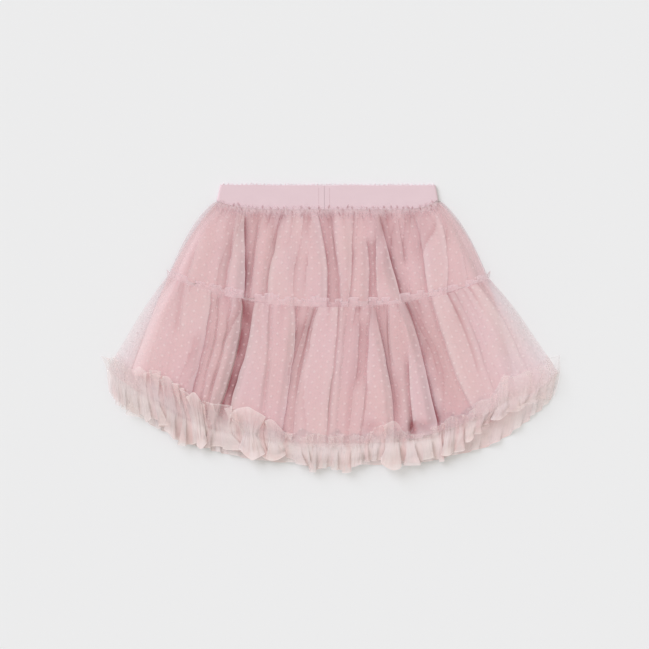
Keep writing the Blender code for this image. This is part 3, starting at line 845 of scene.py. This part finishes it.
def make_tier_heading(tulle, ground):
    """The lower tier's raw edge, which stands in small waves above the seam."""
    along, across, phase, width, whims = uneven_waves(HEADING_WAVES, 30, 51, 0.6)
    t = linspace(-0.3, 1, 15)[:, None]
    seam_x, seam_y = row_points(TIER_SEAM, across)
    edge_x, edge_y = row_points(HEADING, across)
    wave = 0.5 - 0.5 * cos(phase)
    free = unit(t) ** 1.2
    inside = unit((1 - abs(across)) / 0.06)
    tall = 1 + 0.28 * whims[0] - 0.26 * wave * width
    curl = 1.7 * width * sin(2 * phase) + 3.4 * whims[1] * wave * width
    x = mix(seam_x, edge_x, t) + curl * free * inside
    y = seam_y + (edge_y - seam_y) * t * tall
    z = height_at(ground, x, y) + 0.4 + 0.6 * exp(-(((t - 0.15) / 0.35) ** 2)) * inside
    z = z + (1.5 + 0.9 * whims[2]) * wave * width**0.5 * free * inside
    pinched = pinches(along * 110, t * 0.5, 52) * exp(-abs(t) / 0.4)
    z = z - 0.3 * pinched * inside
    cover = (0.31 + 0.4 * unit(t) ** 4 + 0.16 * whims[3]) * unit((t + 0.3) / 0.4)
    # Painted shade in the pinches.
    deep = 0.3 * pinched
    obj = add_cloth("tier_heading", (x, y, z), tulle, "lower_tier_front", cover, deep)


def stroke_marks(x, below):
    """Short pinched strokes in a gathered edge: 1 at the bottom of each and 0 between them."""
    rng = np.random.RandomState(62)
    marks = np.zeros(np.broadcast(x, below).shape)
    for row, half_length in STROKE_ROWS:
        place = BAND_FOOT.left_x + rng.uniform(0, STROKE_PITCH)
        while place < BAND_FOOT.right_x:
            middle = row + rng.uniform(-0.3, 0.3) * half_length
            long = half_length * rng.uniform(0.6, 1.2)
            thick = rng.uniform(0.8, 1.5)
            slant = rng.uniform(-0.3, 0.55)
            aside = x - place - slant * (below - middle)
            stroke = exp(-((aside / thick) ** 2)) * hump(below - middle, long)
            marks = maximum(marks, rng.uniform(0.4, 1) * stroke)
            place += STROKE_PITCH * rng.uniform(0.55, 1.5)
    return marks


def make_waist_gathers(tulle, ground):
    """The upper tier's top, drawn into puckers under the stitching on the elastic's foot."""
    across = linspace(-1, 1, 1100)
    x, y = row_points(BAND_FOOT, across)
    below = linspace(-WAIST_MARGIN, WAIST_DROP, 40)[:, None]
    y = y - below
    strokes = stroke_marks(x, below)
    inside = unit((1 - abs(across)) * 40)
    lying = maximum(4.8, height_at(ground, x, y) + 0.3)
    ragged = 1.8 * soft_noise(x / 3.2, 0, 66)
    top = eased((below + 4 + ragged) / 3.6)
    foot = eased((WAIST_DROP - 0.5 - below + ragged) / 9)
    loose = top * foot
    puffed = 0.5 + 0.5 * soft_noise(x / 3, below / 5, 67)
    z = mix(3.2, lying + 0.6 * loose * puffed - 0.35 * strokes, np.sqrt(inside))
    cover = (loose * (0.42 + 0.3 * puffed) + 0.95 * strokes) * (0.35 + 0.65 * inside)
    # The strokes dip the cloth and thicken its net, and are painted shade in its colour.
    obj = add_cloth(
        "waist_gathers", (x, y, z), tulle, "upper_tier_front", cover, strokes
    )


def fan_out(x, from_fan, fan, edge, out):
    """Pushes a fan's columns apart towards the ruffle's edge, over its neighbours."""
    share = from_fan / fan.gathered
    return x + (edge - fan.gathered) * share * exp(-(abs(share) ** 4) / 2.4) * 1.25 * out


def flares(across, lines, middle_row, upper_row, lower_row):
    """A strip stitched along a row, from -1 at its upper edge to 1 at its lower one."""
    t = linspace(-1, 1, lines)[:, None]
    upper, lower = row_points(upper_row, across), row_points(lower_row, across)
    edge = [where(t < 0, *pair) for pair in zip(upper, lower)]
    return t, abs(t), t < 0, *row_points(middle_row, across), *edge


def make_hem_ruffle(tulle, ground):
    """A strip gathered along its middle: one flare lies on the tier, the other past the hem."""
    along, across, phase, width, whims = uneven_waves(FRONT_WAVES, COLUMNS_A_WAVE, 71, 0.5)
    t, out, upwards, hem_x, hem_y, edge_x, edge_y = flares(
        across, 37, HEM, RUFFLE_TOP, RUFFLE_FOOT
    )
    phase = phase + where(upwards, 2.4, 0.8) * out * soft_noise(along * 14, 0, 75)
    spreads = sum(exp(-(((hem_x - fan.place) / fan.gathered) ** 4)) for fan in FANS)
    beside = sum(hump(abs(hem_x - fan.place) - 1.9 * fan.gathered, 5) for fan in FANS)
    wave = mix(0.5 - 0.5 * cos(phase), 0.8, 0.8 * spreads)
    full = 0.75 + 0.45 * unit((abs(hem_x + 8) - 60) / 90)
    high = full * width**0.6 * (1 + 0.4 * whims[0])
    pitch = 520 / FRONT_WAVES * width
    curl = pitch * (0.09 + 0.14 * full + 0.1 * whims[3]) * sin(2 * phase) * out**1.2
    lean = 0.85 * pitch * where(upwards, whims[1], whims[4]) * wave * out
    aside = (curl + lean) * (1 - spreads)
    uneven = where(upwards, whims[2], whims[3]) + 0.8 * soft_noise(along * 30, 0, 74)
    short = 1 + (0.07 * (wave - 0.6) + 0.17 * uneven + 0.05 * whims[4] * sin(phase)) * out
    tall = curve_through(*zip(*UPPER_FLARE), hem_x)
    short = short * where(upwards, tall, curve_through(*zip(*LOWER_FLARE), hem_x))
    x = mix(hem_x, edge_x, out) + aside * clip((1 - abs(across)) / 0.03, 0.3, 1)
    y = hem_y + (edge_y - hem_y) * out * short + hem_lift(hem_x)
    lifted = 0
    for fan in FANS:
        from_fan = hem_x - fan.place
        x = fan_out(x, from_fan, fan, where(upwards, fan.up, fan.down), out)
        lifted = lifted + fan.rise * hump(from_fan, 1.9 * fan.gathered)
        y = y + where(upwards, 0.9, -0.4) * fan.rise * hump(from_fan, 1.3 * fan.gathered) * out
        rounded = clip((from_fan / fan.gathered) ** 2, 0, 1.6) * hump(from_fan, 2.4 * fan.gathered)
        y = y - 0.09 * fan.rise * (edge_y - hem_y) * out * rounded
    risen = side_share((1 - abs(across)) * 250, 22)
    lying = height_at(ground, x, y) + 0.8
    stitch = height_at(ground, hem_x, hem_y + hem_lift(hem_x)) + 1
    falling = mix(stitch, mix(1.4, RUFFLE_EDGE_LEVEL, risen), unit(t) ** 0.8)
    z_up = maximum(lying, mix(stitch, lying, unit(-t * 2)))
    z_up = z_up + FLARE_UP * high * wave * out**1.3
    z_down = falling + FLARE_DOWN * high * wave * out**1.1 * risen
    z = where(upwards, z_up, z_down)
    z = z + 1.6 * sin(pi * unit(out * 1.4)) * (0.5 + 0.5 * wave)
    z = z + lifted * np.sqrt(unit(out + 0.15))
    pinched = pinches(along * 300, t * 0.7, 72) * exp(-out / 0.4)
    pleats = pinches(hem_x / 1.7, 0.6 * t, 76) * spreads * unit(out * 3)
    z = z - 1.1 * pinched - 0.7 * pleats + 0.5 * soft_noise(along * 180, t * 2, 73) * out
    z = maximum(z, 1)
    rim = exp(-(1 - out) / 0.035)
    corner = unit((abs(across) - 0.6) / 0.3)
    cover = 0.52 + (0.3 - 0.12 * spreads) * rim + 0.12 * whims[4] - 0.3 * wave * out * (1 - spreads)
    apart = eased(out / 0.4)
    cover = cover + where(upwards, -0.28 + 0.2 * (tall - 0.6), 0.16) * apart + 0.02 * lifted
    cover = cover * (1 - 0.42 * corner) - 0.1 * spreads * hump(out - 0.55, 0.45)
    # Painted shade: darker in the wave troughs, the pinches and pleats and beside the fans, less on the
    # upper flare and at the corners.
    deep = 0.72 * (1 - wave) * out * (1.2 - out) + 0.33 * pinched + 0.4 * pleats
    deep = deep * where(upwards, 0.55, 0.75) + 0.45 * beside * (1 - spreads) * (1 - rim)
    deep = deep * (1 - 0.65 * corner)
    obj = add_cloth(
        "hem_ruffle_tulle", (x, y, z), tulle, "hem_ruffle_front",
        cover, deep, casts=True,
    )


def make_back_ruffle(tulle):
    """The same strip on the back, pressed flat above the hem line."""
    along, across, phase, _, whims = uneven_waves(BACK_WAVES, COLUMNS_A_WAVE, 81, 0.4)
    t, out, upwards, hem_x, hem_y, edge_x, edge_y = flares(
        across, 25, BACK_HEM, BACK_RUFFLE_TOP, BACK_RUFFLE_FOOT
    )
    wave = 0.5 - 0.5 * cos(phase)
    inside = side_share(1 - abs(across), 0.1)
    z = 0.5 + unit(t) * BACK_WAVE_RISE * wave * inside * (1 + 0.3 * whims[0])
    z = z + 0.25 * pinches(along * 150, t * 0.7, 82) * out
    x = mix(hem_x, edge_x, out) + (1.2 * sin(2 * phase) + 1.6 * whims[1] * wave) * out
    y = hem_y + (edge_y - hem_y) * out * (1 - 0.05 * wave * out + 0.07 * whims[2] * out)
    rim = exp(-(1 - out) / 0.04)
    cover = (0.42 + 0.2 * exp(-out / 0.3) + 0.3 * rim) * where(upwards, 0.25, 1)
    cover = cover * (1 - 0.4 * unit((-across - 0.7) / 0.2))
    # Painted shade in the lower flare's wave troughs and towards its right end.
    in_shade = 0.45 * hump(across - 0.72, 0.24)
    obj = add_cloth(
        "back_ruffle_tulle", (x, y, z), tulle, "hem_ruffle_back",
        cover, where(upwards, 0, 0.2 * (1 - wave) * out + in_shade), casts=True,
    )


# ---- back panels and lining


def make_back_tier(name, node, rows, sections, folds, bulge, tulle, seed, hem_painted_shade):
    """A back panel, which lies on the floor in flat stretches between low ridges."""
    across = linspace(-1, 1, folds * 22 + 1)
    down = linspace(0, 1, 60)[:, None]
    level, folded, _ = lie(sections, down)
    x, y = between(rows, across, across, down, bulge)
    ridge = unit(soft_noise(across * folds * 0.9, down * 1.3, seed))
    z = level + BACK_RIDGE * folded * ridge
    z = z + 0.25 * abs(soft_noise(x / 5, down * 3, seed + 1)) * folded
    from_side = (1 - abs(across)) * (rows[1].right_x - rows[1].left_x) / 2
    cover = mix(BACK_SIDE_COVER, USUAL_COVER, eased(from_side / SIDE_FADE)) + 0.3 * exp(-down / 0.05)
    middle = unit((0.8 - abs(across)) / 0.2)
    # Painted shade over the middle of the panel's lowest stretch, where it shows below the lining's
    # hem.
    depth = hem_painted_shade * middle * unit((down - 0.7) / 0.1)
    marks = mix(0.3, 1, unit(from_side / SIDE_PLAIN))
    obj = add_cloth(name, (x, y, z), tulle, node, cover, depth, marks, casts=True)


def lining_grid(lines, columns):
    """How far across and down a lining's columns and lines lie, and its places."""
    across = linspace(-1, 1, columns)
    down = linspace(0, 1, lines)[:, None]
    bulge = where(across < 0, *LINING_BULGES)
    return across, down, *between((LINING_TOP, LINING_HEM), across, across, down, bulge)


def make_front_lining(cloth, ceiling, shade):
    """The lining below the front tiers, which follows their folds from underneath, with shade painted
    into its colour under their creases and paler sides.
    """
    across, down, x, y = lining_grid(120, 400)
    wave = 3 * sin(2 * pi * 6.5 * across + 0.6) + 2 * sin(2 * pi * 11.3 * across)
    y = y + wave * down**6
    inner = side_share((1 - abs(across)) * 200, 12)
    z = minimum(height_at(ceiling, x, y) - LINING_CLEARANCE, LINING_CREST)
    z = 3 + maximum(z - 3, 0) * inner
    from_side = (1 - abs(across)) * abs(where(x < 0, x[:, :1], x[:, -1:]))
    edge = 0.75 * exp(-from_side / 12)
    # marks here is the shade painted under the tulle's creases, and depth the paler edge.
    obj = add_cloth(
        "front_lining", (x, y, z), cloth, "lining_front", depth=edge,
        marks=unit(height_at(shade, x, y)) ** 2,
    )


def make_back_lining(cloth):
    across, down, x, y = lining_grid(60, 160)
    z = 2.3 + 0.35 * soft_noise(x / 18, y / 50, 91)
    y = y + 2.5 * sin(2 * pi * 4.5 * across) * down**6
    obj = add_cloth("back_lining", (x, y, z), cloth, "lining_back", marks=0)


# ---- the waist elastic


def band_route(columns, turn_steps):
    """Cross-section of the flattened elastic, from the join round the back to the join."""
    turn = (ELASTIC + 0.4) / 2
    low = ELASTIC / 2
    join = JOIN_X / -BAND_TOP.left_x
    gap = 0.09 / -BAND_TOP.left_x
    high = low + 2 * turn
    route = [(mix(join - gap, -1, k / columns), 0, high) for k in range(columns)]
    stretches = ((-1, 1, pi / 2, low, columns), (1, join + gap, -pi / 2, high, columns + 1))
    for side, last, start, height, stop in stretches:
        for k in range(turn_steps + 1):
            angle = start + pi * k / turn_steps
            route.append((side, turn * cos(angle), low + turn + turn * sin(angle)))
        route += [(mix(side, last, k / columns), 0, height) for k in range(1, stop)]
    return np.array(route), ELASTIC / 2 + turn


def make_waist_elastic(webbing):
    """One flattened loop of ribbed webbing, drawn into small waves by the gathers at its foot."""
    route, reach = band_route(150, 10)
    across, beyond, height = route.T
    down = linspace(0, 1, 22)[:, None]
    x, y = between((BAND_TOP, BAND_FOOT), across, across, down)
    x = x - across * reach + beyond
    drawn_in = soft_noise(x / 5.2, down * 0.4, 95) * down**4
    z = height + where(height > ELASTIC + 0.2, 0.3 * drawn_in, 0)
    y = y + 0.25 * soft_noise(x / 9, 0, 96) * (1 - down)
    obj = add_cloth("waist_elastic", (x, y, z), webbing, "waistband", casts=True)
    wall = obj.modifiers.new("Wall", "SOLIDIFY")
    wall.thickness = ELASTIC * MM
    wall.offset = 0
    edge = obj.modifiers.new("Soft edge", "BEVEL")
    edge.width = 0.5 * MM
    edge.segments = 2
    edge.limit_method = "ANGLE"


def picot_run(top_side):
    """One side's row of tiny thread loops along the elastic's top edge."""
    rng = np.random.RandomState(101 if top_side else 102)
    loops = 54
    ends = np.cumsum(concatenate([[0], rng.uniform(0.5, 1.5, loops)]))
    turn = linspace(0, loops, loops * 12 + 1)
    across = -1 + 2 * interp(turn, range(loops + 1), ends) / ends[-1]
    angle = 2 * pi * turn
    x, y = row_points(BAND_TOP, 0.99 * across)
    tall = interp(turn, range(loops + 1), rng.uniform(0.8, 2.9, loops + 1))
    out = 0.5 - 0.5 * cos(angle)
    height = (3.5 if top_side else 1.1) + 0.4 * sin(angle)
    return to_frame(x + 0.9 * sin(angle), y + tall * out - 0.1, height)


def make_picot(thread):
    add_threads("waist_picot", [picot_run(True), picot_run(False)], 0.42 * MM, thread)


def make_join_stitches(thread):
    """Two rows of stitches, one on each side of the join in the elastic."""
    steps = linspace(0, 1, 5)
    height = STITCH_TOP + 0.22 * sin(pi * steps) - 0.1
    starts = 153.6 - 3 * np.arange(8)
    runs = [
        to_frame(JOIN_X + aside, start - 2.1 * steps, height)
        for aside in (-6.6, 5.4)
        for start in starts
    ]
    add_threads("waist_join_stitches", runs, 0.2 * MM, thread)


# ---- floor, light and camera


def make_floor():
    bpy.ops.mesh.primitive_plane_add(size=12, location=(0, 0, -0.0002))
    floor = bpy.context.object
    floor.name = "floor"
    floor.data.materials.append(make_floor_finish())


def make_light():
    world = bpy.data.worlds.new("Studio")
    bpy.context.scene.world = world
    world.use_nodes = True
    sky = world.node_tree.nodes["Background"]
    sky.inputs["Color"].default_value = (1, 0.985, 0.93, 1)
    sky.inputs["Strength"].default_value = 0.62
    lamp = bpy.data.lights.new("Softbox", "SUN")
    lamp.energy = 1.64
    lamp.angle = np.radians(42)
    lamp.color = (1, 1.03, 1.15)
    sun = bpy.data.objects.new("Softbox", lamp)
    sun.rotation_euler = (np.radians(-34), np.radians(-44), 0)
    bpy.context.scene.collection.objects.link(sun)


FRAME_WIDTH = 713.9  # of the whole picture on the skirt, in millimetres
FRAME_X = -8.6  # middle of the picture in the tables' millimetres
FRAME_Y = 3.1
LENS = 85
SENSOR = 36
CLOTH_HEIGHT = 10


def make_camera():
    """Straight above the skirt, from far enough for a natural view."""
    lens = bpy.data.cameras.new("Camera")
    lens.lens = LENS
    lens.sensor_width = SENSOR
    camera = bpy.data.objects.new("Camera", lens)
    height = CLOTH_HEIGHT + FRAME_WIDTH * LENS / SENSOR
    camera.location = to_frame(FRAME_X, FRAME_Y, height)
    bpy.context.scene.collection.objects.link(camera)
    bpy.context.scene.camera = camera


def make_skirt():
    dotted_tulle = make_dotted_tulle()
    gathered_tulle = make_gathered_tulle()
    ruffle_tulle = make_ruffle_tulle()
    lining_cloth = make_lining_cloth()
    webbing = make_elastic_webbing()
    picot_thread = make_thread("Picot thread", (0.86, 0.7, 0.74), (0.97, 0.9, 0.92))
    stitch_thread = make_thread("Stitching thread", (0.62, 0.44, 0.47), (0.74, 0.54, 0.57))
    make_waist_elastic(webbing)
    make_picot(picot_thread)
    make_join_stitches(stitch_thread)
    fronts = [make_upper_front(dotted_tulle), make_lower_front(dotted_tulle)]
    panels = [(x, y, z) for x, y, z, _ in fronts]
    # The fronts' painted shade is spread into a grid that darkens the lining beneath them.
    creases = [(x, y, deep) for x, y, _, deep in fronts]
    ground = relief(panels, maximum, 2)
    make_waist_gathers(gathered_tulle, ground)
    make_tier_heading(gathered_tulle, ground)
    make_hem_ruffle(ruffle_tulle, ground)
    shade = relief(creases, maximum, 1, 0)
    make_front_lining(lining_cloth, relief(panels, minimum, 2), shade)
    make_back_tier(
        "upper_tulle_back", "upper_tier_back", (GATHER, TIER_SEAM), UPPER_BACK,
        UPPER_BACK_FOLDS, UPPER_BULGE, dotted_tulle, 111, 0,
    )
    make_back_tier(
        "lower_tulle_back", "lower_tier_back", (TIER_SEAM, BACK_HEM), LOWER_BACK,
        LOWER_BACK_FOLDS, LOWER_BULGE, dotted_tulle, 121, 0.8,
    )
    make_back_ruffle(ruffle_tulle)
    make_back_lining(lining_cloth)


def main():
    make_skirt()
    make_floor()
    make_light()
    make_camera()
    scene = bpy.context.scene
    scene.view_settings.view_transform = "Standard"
    scene.cycles.transparent_max_bounces = 48


main()
